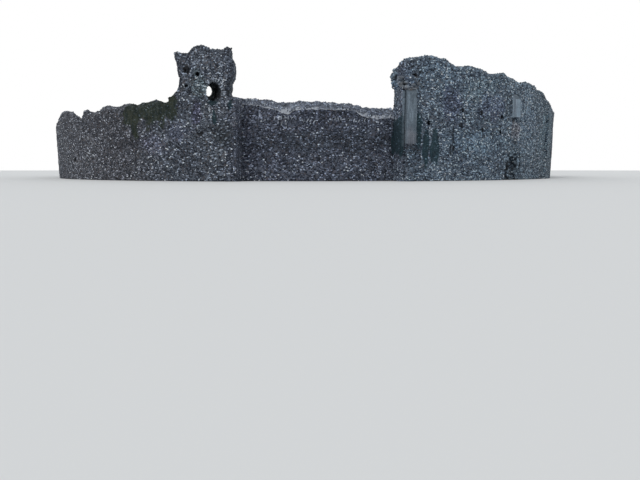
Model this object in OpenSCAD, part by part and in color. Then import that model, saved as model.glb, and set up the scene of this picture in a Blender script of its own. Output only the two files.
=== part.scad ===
// Shell keep: a ruined ring of flint rubble walls, modelled at half its real size.
// Bearings are degrees round the ring from the front, which is -Y, turning towards +X.
// Heights are measured from the lowest ground that the walls stand on.

/* [Ring] */
// Outer radius of the ring of walls
outer_r = 12500; // [10500:100:15000]
// Thickness of the walls
wall_t = 1000; // [800:10:1300]
// Bearing at which the run of equal wall lengths starts
first_joint = 26.75; // [26.5:0.25:27.25]

/* [Heights] */
// Top of the high curtain, at its highest stump
high_h = 4130; // [3700:10:4600]
// Top of the low curtain
low_h = 2740; // [2600:10:2850]
// Top of the left curtain
left_h = 2790; // [2450:10:2900]
// Top of the rear curtain
rear_h = 3600; // [3300:10:4200]
// Top of the tower fragment
tower_h = 4330; // [4000:10:4700]

/* [Broken tops] */
// Rise from the edge of a wall's face to the crest of its weathered top
crown_h = 160; // [60:10:260]
// How far weathering lifts and lowers the tops
wear = 24; // [0:1:40]
// How far a broken end is rounded off
end_round = 130; // [0:10:220]
// How far in front of the ring's middle the furrows in the broken tops fan out from
furrow_from = 28700; // [24000:100:40000]

/* [Tower fragment] */
// Bearing of the tower's left side at its foot
tower_left = -21.4; // [-22:0.1:-20.8]
// Bearing of the tower's right side at its foot
tower_right = -10.6; // [-11.2:0.1:-10.2]
// Height of the bed joint between the tower's foot and its upper part
tower_bed = 2350; // [2200:10:2420]
// Bearing of the middle of the window's mouth
window_at = -13.8; // [-14.2:0.1:-13.5]
// Height of the middle of the window's mouth
window_z = 2830; // [2800:10:2900]
// Width of the window's mouth
mouth_w = 520; // [400:10:560]
// Height of the window's mouth
mouth_h = 620; // [480:10:660]
// Width of the light at the inner face
light_w = 250; // [160:10:300]
// Height of the light at the inner face
light_h = 340; // [220:10:400]
// How far the light lies to the left of the mouth
light_shift = 630; // [450:10:700]
// How far the light lies above the mouth
light_rise = 180; // [60:10:220]
// Rise from the edge of the tower's face to its crest
tower_crown_h = 80; // [30:5:140]

/* [Low curtain] */
// How far the low curtain's outer face stands back from the face of the ring
low_back = 700; // [500:10:760]
// Thickness of the low curtain
low_t = 600; // [450:10:800]

/* [High curtain] */
// Bearing of the broken end of the high curtain
high_end = 14.3; // [14.1:0.1:14.4]
// How far the inner corner of a broken end lies behind the outer one, in degrees
end_skew = 0.8; // [0:0.1:1]
// Depth of the robbed hollow at the second pilaster
robbed_d = 260; // [120:10:340]
// Width of the robbed hollow
robbed_w = 1080; // [800:10:1200]
// Height of the robbed hollow
robbed_h = 1190; // [900:10:1300]
// Depth of the scar that the lost part of the second pilaster leaves
scar_d = 50; // [20:5:90]

/* [Pilasters] */
// Width of a pilaster
pilaster_w = 360; // [260:10:440]
// How far a pilaster stands out of the wall
pilaster_out = 120; // [70:5:170]
// How deep a pilaster is bonded into the wall
pilaster_in = 80; // [40:5:120]
// Bearing of the first pilaster
pilaster_at = 15.5; // [15.4:0.1:15.7]
// Bearing of the third pilaster, at the corner on the right
corner_at = 54; // [53.5:0.1:54.5]
// Width of the third pilaster
corner_w = 820; // [600:10:900]
// How far the third pilaster stands out of the wall
corner_out = 90; // [50:5:130]
// How far the third pilaster ends below the wall's top
corner_drop = 410; // [250:10:600]
// Lowest dressed stone of the first pilaster
strip_z = 1210; // [1000:10:1400]
// Top of the first pilaster's dressed strip
strip_top = 3000; // [2800:10:3100]
// Height of the stone head on the first pilaster
head_h = 400; // [300:10:460]
// How far a hidden pilaster ends below the wall's top
pilaster_drop = 520; // [400:10:800]

/* [Putlog holes] */
// Width and height of a putlog hole
putlog_w = 90; // [60:5:130]
// Depth of a putlog hole
putlog_d = 320; // [150:10:450]

/* [Gateway] */
// Width of the passage
gate_w = 1200; // [1000:10:1400]
// Height of the passage at the springing of its arch
gate_spring = 1350; // [1100:10:1500]
// Thickness of the dressed jambs and arch
gate_ring = 200; // [150:10:260]
// How far the dressed stones stand out of the wall
gate_out = 40; // [20:5:80]

/* [Hidden] */

inner_r = outer_r - wall_t;
// More than any wall is high, for cuts that run out at the top
above_all = 2 * tower_h;
// How far a cutting shape runs past the face that it cuts
past = 60;
full_turn = 360;

// The ring is 24 equal lengths of wall, counted from first_joint
joint_pitch = full_turn / 24;
rear_first = 3;
gate_length = 10;
left_first = 18;
// Hidden pilasters stand one and a half lengths apart
pilaster_pitch = 1.5 * joint_pitch;
rear_pilasters = 9;

// Angle between the stations of a visible wall and of a hidden one
fine_step = 0.5;
plain_step = 1.875;

// Skylines as [bearing, drop below the named top], along the outer face of the ring
left_line = [[-66, 450], [-56, 250], [-54.8, 180], [-52.8, 60], [-51.2, 0], [-49.8, 10], [-47.6, 80],
  [-45.7, 160], [-44.9, 240], [-43.8, 500], [-43.2, 500], [-42.4, 280], [-41.6, 170], [-40.1, 140],
  [-39, 300], [-38.3, 270], [-37.1, 310], [-36.4, 240], [-35.3, 150], [-34.3, 135], [-32.7, 160],
  [-31.5, 240], [-30.8, 180], [-30.3, 120], [-29.2, 120], [-28.1, 170], [-27.2, 260], [-26.6, 150],
  [-24.8, 120], [-23.6, 70], [-22.3, 180], [-21.4, 140]];
low_line = [[-11.5, 10], [-8, 10], [-7.3, 50], [-6.5, 55], [-5.8, 100], [-5.1, 105], [-4.4, 155],
  [-2.9, 180], [-2.2, 145], [1.4, 130], [3.5, 150], [4.3, 175], [5.7, 175], [6.5, 205], [7.2, 255],
  [8, 305], [9.5, 335], [12.4, 305], [14.5, 300]];
high_line = [[12.4, 520], [13, 440], [13.7, 330], [14.3, 200], [14.9, 170], [15.3, 120], [15.9, 110],
  [16.9, 70], [17.9, 20], [18.7, 0], [19.2, 0], [19.8, 30], [20.4, 60], [20.9, 40], [21.4, 90],
  [22.5, 200], [23, 260], [23.7, 300], [24.4, 220], [26.4, 200], [27.3, 240], [28.2, 245],
  [29.1, 300], [29.6, 370], [30.1, 400], [31.5, 370], [32.4, 310], [34, 280], [34.6, 310],
  [35.1, 390], [36.3, 400], [37, 430], [37.6, 505], [38.9, 490], [40.9, 415], [42.4, 420],
  [44.2, 460], [45.1, 560], [46.6, 560], [49.2, 600], [50.6, 750], [58.3, 1060], [66, 1150]];
rear_line = [[72, 560], [80, 250], [90, 420], [97, 120], [104, 60], [112, 340], [120, 700],
  [126, 620], [134, 900], [141, 760], [150, 420], [158, 260], [166, 180], [174, 60], [184, 0],
  [192, 120], [199, 380], [207, 900], [214, 1080], [222, 840], [231, 620], [240, 720],
  [249, 1010], [257, 930], [266, 1100], [275, 1180], [284, 1080], [290, 1230]];
// Skyline of the tower fragment, as [bearing, drop below its top]
tower_line = [[-19.7, 130], [-19.3, 120], [-18.7, 185], [-18, 225], [-17.4, 190], [-17, 70],
  [-16.7, 30], [-15.4, 10], [-14.9, 20], [-14.5, 90], [-13.9, 150], [-12.9, 190], [-12.6, 210],
  [-12, 170], [-11.5, 90], [-10.9, 100]];
// Drop from the low curtain's crest to the edge of its face, as [bearing, drop]
low_edge = [[-13.3, 225], [-7.7, 235], [-5.5, 250], [-4.4, 320], [-3.2, 370], [-2.3, 330],
  [-1.2, 260], [1.2, 260], [6.9, 220], [8.4, 240], [9.9, 340], [12, 360], [15.5, 320]];
// Sides of the tower fragment, as [drop below its top, how far the left and the right are drawn in]
tower_sides = [[1710, 0, 0], [1640, 0, 0.9], [1530, 0.5, 1.1], [1430, 1.1, 0.9], [1330, 1.5, 0.85],
  [1150, 1.7, 0.9], [1000, 1.8, 0.4], [860, 1.5, 0.3], [580, 1.4, 0.3], [450, 1.2, 0.5],
  [345, 1, 0.8]];
// Drops at which the tower's left and right sides come free of the walls beside them
free_left = 1600;
free_right = 1700;
// How far the inner side of the tower's beds lies above the outer one, as [drop, rise]
tower_tilt = [[1710, 120], [1430, 70], [1150, 0]];
// Broken end of the high curtain, as [height, degrees drawn back, share of the skew, of the rounding]
end_line = [[0, 0, 0, 0.2], [2300, 0, 0, 0.2], [2500, 0.05, 0.6, 0.4], [3100, 0, 0.55, 0.7],
  [3400, -0.2, 0.4, 0.9]];

// Insets of the crown's steps as shares of the wall, and the share of the drop left there
crown_steps = [[0, 1], [0.08, 0.66], [0.17, 0.38], [0.28, 0.14], [0.4, 0]];
// The same for the tops of the tower and of the high curtain's broken end
end_steps = [[0, 1], [0.14, 0.45], [0.4, 0]];

// Putlog holes and small lost stones, as [bearing, height]
putlogs = [[-46.7, 740], [-50.7, 780], [18.7, 1910], [24.7, 1850], [24.8, 2380], [29.2, 1770],
  [28.8, 2340], [34.1, 2250], [33.9, 1700], [33.2, 1270]];
tower_holes = [[-18.1, 3560], [-16.3, 3400], [-18.2, 3050]];

gate_at = joint_at(gate_length + 0.5);
gate_half = gate_w / 2 + gate_ring;
gate_shoulder = 100;
arch_facets = 96;
oval_facets = 28;

// Fall of a pilaster's sloping top, for each unit that it stands out
weathering = 1.5;
// Bearing, either way from the front, at which the tops' furrows are square to the wall, and the
// angle over which they turn
fan_end = 64;
fan_turn = 6;
// The second pilaster: where it stands, and its lowest and highest dressed stones
second_at = pilaster_at + pilaster_pitch - 0.2;
scar_top = 2290;
second_top = 3080;
scar_w = 0.9 * pilaster_w;
// Side outlines of the first pilaster's foot and head, as shares [of its depth, of its height]
foot_w = 0.92 * pilaster_w;
foot_outline = [[0.35, 1], [0.5, 0.8], [0.75, 0.45], [0.8, 0]];
head_w = 1.2 * pilaster_w;
head_shift = 0.15;
head_outline = [[0.1, 1], [0.9, 0.8], [1.2, 0.5], [0.7, 0]];
// Front outline of the robbed hollow, as shares [of its half width, of its height], and its taper
robbed_outline = [[-0.92, 0.42], [-0.58, 0.78], [-0.3, 1], [0.24, 0.93], [0.62, 0.97], [1, 0.5]];
robbed_taper = [0.7, 0.82];

function between(a, b, share) = a + (b - a) * share;
function at(bearing, radius, height) = [radius * sin(bearing), -radius * cos(bearing), height];
function hung(line, top) = [for (p = line) [p[0], top - p[1]]];
function inset_of(drop, column) = lookup(-drop, [for (s = tower_sides) [-s[0], s[column]]]);
function tilt_of(drop) = lookup(-drop, [for (s = tower_tilt) [-s[0], s[1]]]);
// Lengths of wall, counted from first_joint
function joint_at(k) = first_joint + k * joint_pitch;
// Stations along a wall, about one step apart
function stations(l, r, step) = max(1, round((r - l) / step));

// Skyline of the high, rear and left curtains in one run, the left's bearings a turn further on
ring_line = concat(hung(high_line, high_h), hung(rear_line, rear_h),
  [for (p = left_line) [p[0] + full_turn, left_h - p[1]]]);
function skyline(bearing) = lookup(bearing, ring_line);

// Bearing at which the furrow through a point of a broken top crosses the outer face
function furrow(bearing, radius) =
  let (x = radius * sin(bearing), y = furrow_from - radius * cos(bearing), d = norm([x, y]),
    // Lengths along the furrow: to where it passes the ring's middle, and from the face to there
    middle = furrow_from * y / d,
    half = sqrt(max(0, pow(outer_r, 2) - pow(furrow_from, 2) + pow(middle, 2))),
    front = (middle - half) / d,
    signed = bearing > full_turn / 2 ? bearing - full_turn : bearing,
    share = min(1, max(0, (fan_end - abs(signed)) / fan_turn)))
  bearing + share * (atan2(front * x, furrow_from - front * y) - signed);

// Unevenness that repeats nowhere nearby, from -1 to 1
function rough(bearing, row) = 0.6 * sin(977 * bearing + 50 * row) + 0.4 * sin(2311 * bearing + 131 * row);

// One course of points round a wall: the outer row from left to right, then the inner row back
function course(outer, inner) = concat(outer, [for (i = [len(inner) - 1:-1:0]) inner[i]]);

// A solid through courses of points that lie one above the other. Flat ends are one face each, so
// that the top may rise and fall across the wall.
module lofted(courses, flat_ends = false) {
  m = len(courses[0]);
  n = m / 2;
  last = len(courses) - 1;
  top = last * m;
  ends = [for (pair = [[m - 1, 0], [n - 1, n]])
    concat([for (k = [0:last]) k * m + pair[0]], [for (k = [last:-1:0]) k * m + pair[1]])];
  polyhedron(points = [for (c = courses) each c],
    faces = concat(
      [for (k = [0:last - 1]) for (j = [0:m - 1]) if (!flat_ends || (j != n - 1 && j != m - 1))
        let (a = k * m + j, b = k * m + (j + 1) % m) each [[a, a + m, b + m], [a, b + m, b]]],
      flat_ends ? ends : [],
      [for (j = [0:n - 2]) each [[j, j + 1, m - 2 - j], [j, m - 2 - j, m - 1 - j]]],
      [for (j = [0:n - 2]) each [[top + m - 1 - j, top + m - 2 - j, top + j + 1],
        [top + m - 1 - j, top + j + 1, top + j]]]));
}

// Radius of a row, drawn in by a share of end_round where the row ends at a broken end
function row_r(radius, sign, i, n, open) = radius
  + sign * end_round * (i == 0 ? open[0] : i == n ? open[1] : 0);

// A row of points at the crown: k is the step, sign is -1 outside and 1 inside
function crown_row(l, r, n, k, sign, line, edge, face_r, t) = [for (i = [0:n])
  let (b = between(l, r, i / n), s = crown_steps[k],
    drop = (sign < 0 ? lookup(b, edge) : crown_h) * s[1],
    radius = (sign < 0 ? face_r : face_r - t) + sign * s[0] * t)
  at(b, radius, lookup(furrow(b, radius), line) - drop + wear * rough(b, k * sign))];

// A length of curtain wall from one bearing to another, with its broken top
module curtain(l, r, step, line = ring_line, edge = [[0, crown_h], [full_turn, crown_h]],
    face_r = outer_r, t = wall_t) {
  n = stations(l, r, step);
  foot = [for (radius = [face_r, face_r - t]) [for (i = [0:n]) at(between(l, r, i / n), radius, 0)]];
  lofted(concat([course(foot[0], foot[1])],
    [for (k = [0:len(crown_steps) - 1]) course(crown_row(l, r, n, k, -1, line, edge, face_r, t),
      crown_row(l, r, n, k, 1, line, edge, face_r, t))]), flat_ends = true);
}

// Places children at a bearing, with -Y pointing out of the ring
module facing(bearing) {
  rotate(bearing) children();
}

// A rectangular hole into the outer face
module putlog(bearing, height) {
  facing(bearing) translate([-putlog_w / 2, -outer_r - past, height - putlog_w / 2])
    cube([putlog_w, putlog_d + past, putlog_w]);
}

module putlog_cuts(l, r, list = putlogs) {
  for (p = list) if (p[0] > l && p[0] < r) putlog(p[0], p[1]);
}

// A block bonded into the wall, from its side outline as [distance out of the face, height]
module bonded(bearing, width, outline) {
  facing(bearing) translate([-width / 2, 0, 0]) rotate([90, 0, 90]) linear_extrude(width)
    polygon([for (p = outline) [-outer_r - p[0], p[1]]]);
}

// A pilaster with a sloping top
module pilaster(bearing, width, bottom, top, out = pilaster_out) {
  bonded(bearing, width, [[-pilaster_in, bottom], [-pilaster_in, top], [0, top],
    [out, top - weathering * out], [out, bottom]]);
}

function rear_pilaster_at(k) = pilaster_at + (k + 2) * pilaster_pitch;

module rear_pilaster(k) {
  b = rear_pilaster_at(k);
  color([0.52, 0.55, 0.58]) pilaster(b, pilaster_w, 0, skyline(b) - pilaster_drop);
}

module first_strip() pilaster(pilaster_at, pilaster_w, strip_z, strip_top);

// The robbed foot below the strip, worn back towards the wall
module first_foot() bonded(pilaster_at, foot_w, concat([[-pilaster_in, 0], [-pilaster_in, strip_z]],
  [for (p = foot_outline) [p[0] * pilaster_out, p[1] * strip_z]]));

// The lump of brown stones that crowns the strip
module first_head() bonded(pilaster_at - head_shift, head_w,
  concat([[-pilaster_in, strip_top], [-pilaster_in, strip_top + head_h]],
    [for (p = head_outline) [p[0] * pilaster_out, strip_top + p[1] * head_h]]));

module second_strip() pilaster(second_at, pilaster_w, scar_top, second_top);

module corner_strip() pilaster(corner_at, corner_w, 0, skyline(corner_at) - corner_drop, corner_out);

// The ragged hollow left where the foot of the second pilaster was robbed out
module robbed_hollow() {
  w = robbed_w / 2;
  facing(second_at) translate([0, -outer_r - past, 0]) rotate([-90, 0, 0])
    linear_extrude(height = robbed_d + past, scale = robbed_taper, slices = 1)
      polygon(concat([[-w, past]], [for (p = robbed_outline) [p[0] * w, -p[1] * robbed_h]],
        [[w, past]]));
}

module scar() {
  facing(second_at) translate([-scar_w / 2, -outer_r - past, robbed_h / 2])
    cube([scar_w, scar_d + past, scar_top - robbed_h / 2]);
}

function left_joint(k) = joint_at(k + left_first);

module left_curtain(k) {
  l = left_joint(k);
  r = k == 2 ? tower_left + full_turn : left_joint(k + 1);
  color([0.36, 0.37, 0.38]) difference() {
    curtain(l, r, fine_step);
    putlog_cuts(l - full_turn, r - full_turn);
  }
}

module low_curtain(k) {
  middle = (tower_right + high_end) / 2;
  color([0.33, 0.33, 0.38])
    curtain(k == 0 ? tower_right : middle, k == 0 ? middle : high_end, fine_step,
      hung(low_line, low_h), low_edge, outer_r - low_back, low_t);
}

// The broken end of the high curtain leans and steps as the rubble fell away
module broken_end() {
  l = high_end;
  r = joint_at(0);
  n = stations(l, r, fine_step);
  // An end_line entry and a side of the wall, -1 outside and 1 inside, give the end's bearing
  function start(e, s) = l + e[1] + (s < 0 ? 0 : e[2] * end_skew);
  function row(e, s) = [for (i = [0:n]) at(between(start(e, s), r, i / n),
    row_r(s < 0 ? outer_r : inner_r, s, i, n, [e[3] * (s < 0 ? 1 : e[2]), 0]), e[0])];
  function tops(k, s) = let (e = end_line[len(end_line) - 1]) [for (i = [0:n])
    let (c = end_steps[k], across = s < 0 ? c[0] : 1 - c[0],
      b = between(between(start(e, -1), start(e, 1), across), r, i / n),
      radius = (s < 0 ? outer_r : inner_r) + s * c[0] * wall_t)
    at(b, row_r(radius, s, i, n, [1 - 2 * c[0], 0]),
      skyline(furrow(b, radius)) - crown_h * c[1] + wear * rough(b, k * s))];
  lofted(concat([for (e = end_line) course(row(e, -1), row(e, 1))],
    [for (k = [0:len(end_steps) - 1]) course(tops(k, -1), tops(k, 1))]));
}

module high_curtain_1() {
  color([0.4, 0.43, 0.46]) difference() {
    broken_end();
    first_strip();
    first_foot();
    first_head();
    putlog_cuts(high_end, joint_at(0));
  }
}

module high_curtain(k) {
  l = joint_at(k);
  color([0.4, 0.43, 0.46]) difference() {
    curtain(l, joint_at(k + 1), fine_step);
    if (k == 0) {
      second_strip();
      robbed_hollow();
      scar();
    }
    if (k == 1) corner_strip();
    putlog_cuts(l, joint_at(k + 1));
  }
}

module rear_curtain(k) {
  // The gateway has a length of wall of its own, which the others pass over
  l = joint_at(rear_first + k < gate_length ? rear_first + k : rear_first + k + 1);
  r = l + joint_pitch;
  color([0.38, 0.4, 0.43]) difference() {
    curtain(l, r, plain_step);
    for (i = [1:rear_pilasters]) if (rear_pilaster_at(i) > l && rear_pilaster_at(i) < r)
      pilaster(rear_pilaster_at(i), pilaster_w, 0, skyline(rear_pilaster_at(i)) - pilaster_drop);
  }
}

// Foot of the tower fragment, up to its bed joint
module tower_foot() {
  n = stations(tower_left, tower_right, fine_step);
  rows = [for (z = [0, tower_bed]) course(
    [for (i = [0:n]) at(between(tower_left, tower_right, i / n), outer_r, z)],
    [for (i = [0:n]) at(between(tower_left, tower_right, i / n), inner_r, z)])];
  color([0.35, 0.36, 0.38]) lofted(rows);
}

// Upper part of the tower fragment, with its waist, its leaning sides and its broken top
module tower_stub() {
  n = stations(tower_left, tower_right, fine_step);
  drops = [for (s = tower_sides) s[0]];
  function l(drop) = tower_left + inset_of(drop, 1);
  function r(drop, s) = tower_right - inset_of(drop, 2) - (s > 0 && drop < free_right ? end_skew : 0);
  function rows(drop) = [for (s = [-1, 1]) [for (i = [0:n])
    at(between(l(drop), r(drop, s), i / n), row_r(s < 0 ? outer_r : inner_r, s, i, n,
      [drop < free_left ? 1 : 0, drop < free_right ? 1 : 0]),
      tower_h - drop + (s > 0 ? tilt_of(drop) : 0))]];
  bed = [for (radius = [outer_r, inner_r]) [for (i = [0:n])
    at(between(tower_left, tower_right, i / n), radius, tower_bed)]];
  function tops(k, s) = [for (i = [0:n])
    let (c = end_steps[k], across = s < 0 ? c[0] : 1 - c[0],
      b = between(l(0), between(r(0, -1), r(0, 1), across), i / n),
      radius = (s < 0 ? outer_r : inner_r) + s * c[0] * wall_t)
    at(b, row_r(radius, s, i, n, [1 - 2 * c[0], 1 - 2 * c[0]]),
      tower_h - lookup(furrow(b, radius), tower_line) - tower_crown_h * c[1]
        + wear * rough(b, k * s))];
  lofted(concat([course(bed[0], bed[1])],
    [for (d = drops) course(rows(d)[0], rows(d)[1])],
    [for (k = [0:len(end_steps) - 1]) course(tops(k, -1), tops(k, 1))]));
}

// A thin upright oval, square to the wall
module oval(w, h) {
  rotate([90, 0, 0]) scale([w / h, 1, 1]) cylinder(d = h, h = 1, $fn = oval_facets);
}

// The window narrows from its broken mouth to a light that lies up and to the left
module window_cut() {
  reach = past / wall_t;
  facing(window_at) hull() {
    translate([light_shift * reach, -outer_r - past, window_z - light_rise * reach])
      oval(between(mouth_w, light_w, -reach), between(mouth_h, light_h, -reach));
    translate([-light_shift * (1 + reach), -inner_r + past, window_z + light_rise * (1 + reach)])
      oval(between(mouth_w, light_w, 1 + reach), between(mouth_h, light_h, 1 + reach));
  }
}

module tower_head() {
  color([0.36, 0.37, 0.39]) difference() {
    tower_stub();
    window_cut();
    putlog_cuts(tower_left, tower_right, tower_holes);
  }
}

// Room for the dressed gateway: as wide as its jambs below, and a shoulder wider above
module gate_room() {
  facing(gate_at) {
    translate([-gate_half, -outer_r - 2 * past, -past])
      cube([2 * gate_half, wall_t + 4 * past, gate_spring + past]);
    translate([-gate_half - gate_shoulder, -outer_r - 2 * past, gate_spring])
      cube([2 * (gate_half + gate_shoulder), wall_t + 4 * past, above_all]);
  }
}

module gate_wall_side(l, r) {
  color([0.38, 0.4, 0.43]) difference() {
    curtain(l, r, plain_step);
    gate_room();
  }
}

module gate_wall_over() {
  color([0.38, 0.4, 0.43]) difference() {
    intersection() {
      curtain(joint_at(gate_length), joint_at(gate_length + 1), plain_step);
      facing(gate_at) translate([-gate_half - gate_shoulder, -outer_r - 2 * past, gate_spring])
        cube([2 * (gate_half + gate_shoulder), wall_t + 4 * past, above_all]);
    }
    gate_barrel(gate_half);
  }
}

// A cylinder across the wall, centred on the springing
module gate_barrel(radius) {
  facing(gate_at) translate([0, -inner_r + 2 * past, gate_spring]) rotate([90, 0, 0])
    cylinder(r = radius, h = wall_t + 4 * past, $fn = arch_facets);
}

// The dressed stones run from just outside the outer face to just inside the inner one
gate_front = outer_r * cos(asin(gate_half / outer_r)) + gate_out;
gate_back = inner_r * cos(asin(gate_half / inner_r)) - gate_out;

module gate_arch() {
  color([0.55, 0.56, 0.57]) facing(gate_at) translate([0, -gate_back, gate_spring])
    rotate([90, 0, 0]) linear_extrude(gate_front - gate_back) difference() {
      circle(r = gate_half, $fn = arch_facets);
      circle(r = gate_w / 2, $fn = arch_facets);
      translate([-gate_half - past, -gate_half - past])
        square([2 * (gate_half + past), gate_half + past]);
    }
}

module gate_jamb(side) {
  color([0.55, 0.56, 0.57]) facing(gate_at)
    translate([side < 0 ? -gate_half : gate_w / 2, -gate_front, 0])
      cube([gate_ring, gate_front - gate_back, gate_spring]);
}

module pilaster_1() color([0.52, 0.55, 0.58]) first_strip();
module pilaster_1_foot() color([0.42, 0.43, 0.45]) first_foot();
module pilaster_1_head() color([0.45, 0.42, 0.4]) first_head();
module pilaster_2() color([0.52, 0.55, 0.58]) second_strip();
module pilaster_3() color([0.5, 0.52, 0.54]) corner_strip();

for (k = [0:2]) left_curtain(k);
tower_foot();
tower_head();
for (k = [0:1]) low_curtain(k);
high_curtain_1();
for (k = [0:2]) high_curtain(k);
for (k = [0:13]) rear_curtain(k);
gate_wall_side(joint_at(gate_length), gate_at);  // gate_wall_left
gate_wall_side(gate_at, joint_at(gate_length + 1));  // gate_wall_right
gate_wall_over();
gate_arch();
gate_jamb(-1);  // gate_jamb_left
gate_jamb(1);  // gate_jamb_right
pilaster_1();
pilaster_1_foot();
pilaster_1_head();
pilaster_2();
pilaster_3();
for (k = [1:rear_pilasters]) rear_pilaster(k);
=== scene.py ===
import math
from itertools import product

import bmesh
import bpy
import numpy as np
from mathutils import Matrix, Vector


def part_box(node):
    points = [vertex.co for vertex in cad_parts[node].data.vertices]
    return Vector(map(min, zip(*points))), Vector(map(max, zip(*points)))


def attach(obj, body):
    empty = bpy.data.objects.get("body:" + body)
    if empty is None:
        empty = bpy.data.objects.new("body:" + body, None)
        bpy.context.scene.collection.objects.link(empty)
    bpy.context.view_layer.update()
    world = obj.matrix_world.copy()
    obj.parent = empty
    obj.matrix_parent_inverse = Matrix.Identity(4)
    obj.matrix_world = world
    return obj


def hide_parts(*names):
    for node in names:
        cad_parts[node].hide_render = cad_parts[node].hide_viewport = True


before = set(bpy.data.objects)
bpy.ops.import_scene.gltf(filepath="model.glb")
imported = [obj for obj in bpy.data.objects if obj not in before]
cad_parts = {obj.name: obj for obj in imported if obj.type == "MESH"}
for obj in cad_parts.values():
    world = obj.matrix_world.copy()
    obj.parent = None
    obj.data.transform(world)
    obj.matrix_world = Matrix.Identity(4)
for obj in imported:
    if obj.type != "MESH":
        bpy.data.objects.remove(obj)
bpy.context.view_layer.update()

# Radii and heights in metres, and bearings in degrees round the ring from the front
OUT_R, IN_R = 12.5, 11.5
LOW_OUT = 11.8
TOWER_LEFT, TOWER_RIGHT, TOWER_BED = -21.4, -10.6, 2.35
HIGH_END = 14.3
# Equal lengths of wall, counted from the first joint, with the first hidden one and the gateway's
FIRST_JOINT, LENGTHS = 26.75, 24
JOINT_PITCH = 360 / LENGTHS
FIRST_REAR, GATE_LENGTH = 3, 10
# The gateway: half its clear width, half its width with the jambs, and where its arch springs
GATE_CLEAR, GATE_HALF, GATE_SPRING = 0.6, 0.8, 1.35
# The tower's window at its mouth: bearing, height, half width and half height
WINDOW_AT, WINDOW_Z, WINDOW_HALF_W, WINDOW_HALF_H = -13.8, 2.83, 0.26, 0.31
# Pilasters: bearings, width, how far one stands out and reaches in, and the slope of its top
PILASTER_AT, SECOND_AT, THIRD_AT = 15.5, 37.8, 53.3
PILASTER_W, PILASTER_OUT, PILASTER_IN, PILASTER_FALL = 0.36, 0.12, 0.08, 1.5
REAR_PILASTERS, PILASTER_PITCH = 9, 1.5 * JOINT_PITCH
# Mean height of a course of dressed stone
COURSE = 0.19
# Cells of the flint pattern to a metre, each way
FLINT = (1 / 0.054, 1 / 0.054, 1 / 0.038)
# Height of the rows that the walls' meshes are cut into, and pitch of the hidden side's upright cuts
FRONT_RISE, REAR_RISE, REAR_SPLIT = 0.19, 0.4, 2.5
# Camera: place, angles down from level and to the right, focal length and picture width in pixels
CAMERA_AT = (0, -28.69, 0.40)
CAMERA_DOWN, CAMERA_RIGHT = 8.05, 1.4
FOCAL_PIXELS, PICTURE_PIXELS, SENSOR = 502, 640, 36.0
# The round floor, and how far it lies under the walls
FLOOR_R, FLOOR_CORNERS, FLOOR_GAP = 140, 95, 0.004
# Height up to which a point or a face counts as on the ground
ON_GROUND = 0.001


# Positions and noise

def bearing_of(p):
    """Bearings of points, from -180 to 180."""
    return np.degrees(np.arctan2(p[..., 0], -p[..., 1]))


def radius_of(p):
    return np.hypot(p[..., 0], p[..., 1])


def turn_from(bearings, bearing):
    """How far bearings lie to the right of one, from -180 to 180."""
    return (bearings - bearing + 180) % 360 - 180


def joint_at(k):
    """Bearing of a joint between two lengths of wall."""
    return FIRST_JOINT + JOINT_PITCH * k


def facing(bearing):
    """Local axes of a place on the ring: X to the right, Y inwards, Z up."""
    return Matrix.Rotation(math.radians(bearing), 4, "Z")


def hashed(ix, iy, iz, seed):
    """Numbers from 0 to 1 that whole coordinates and a seed always give again."""
    h = (ix * 73856093) ^ (iy * 19349663) ^ (iz * 83492791) ^ (seed * 40503)
    h &= 0xFFFFFFFF
    for _ in range(2):
        h = ((h ^ (h >> 16)) * 0x45D9F3B) & 0xFFFFFFFF
    return (h ^ (h >> 16)) / 4294967296.0


def lumps(p, size, seed):
    """Smooth noise from -1 to 1 with lumps of about that size."""
    q = p / size
    i = np.floor(q).astype(np.int64)
    f = q - i
    f = f * f * (3 - 2 * f)
    total = np.zeros(len(p))
    for dx, dy, dz in product((0, 1), repeat=3):
        w = (f[:, 0] if dx else 1 - f[:, 0]) * (f[:, 1] if dy else 1 - f[:, 1]) \
            * (f[:, 2] if dz else 1 - f[:, 2])
        total += w * hashed(i[:, 0] + dx, i[:, 1] + dy, i[:, 2] + dz, seed)
    return 2 * total - 1


def smooth(x, a, b):
    """Rises smoothly from 0 at a to 1 at b, which may be below a."""
    t = np.clip((x - a) / (b - a), 0, 1)
    return t * t * (3 - 2 * t)


# Materials

class Nodes:
    """Adds nodes to a tree. Values are sockets, numbers or colours."""

    def __init__(self, tree):
        self.tree = tree
        tree.nodes.clear()

    def put(self, socket, value):
        if isinstance(value, bpy.types.NodeSocket):
            self.tree.links.new(value, socket)
        elif socket.type == "RGBA" and len(value) == 3:
            socket.default_value = (*value, 1)
        else:
            socket.default_value = value

    def node(self, kind, ins=None, out=0, **props):
        """A new node's output socket, or the node itself if out is None."""
        n = self.tree.nodes.new(kind)
        for key, value in props.items():
            setattr(n, key, value)
        for key, value in (ins or {}).items():
            self.put(n.inputs[key], value)
        return n if out is None else n.outputs[out]


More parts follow.
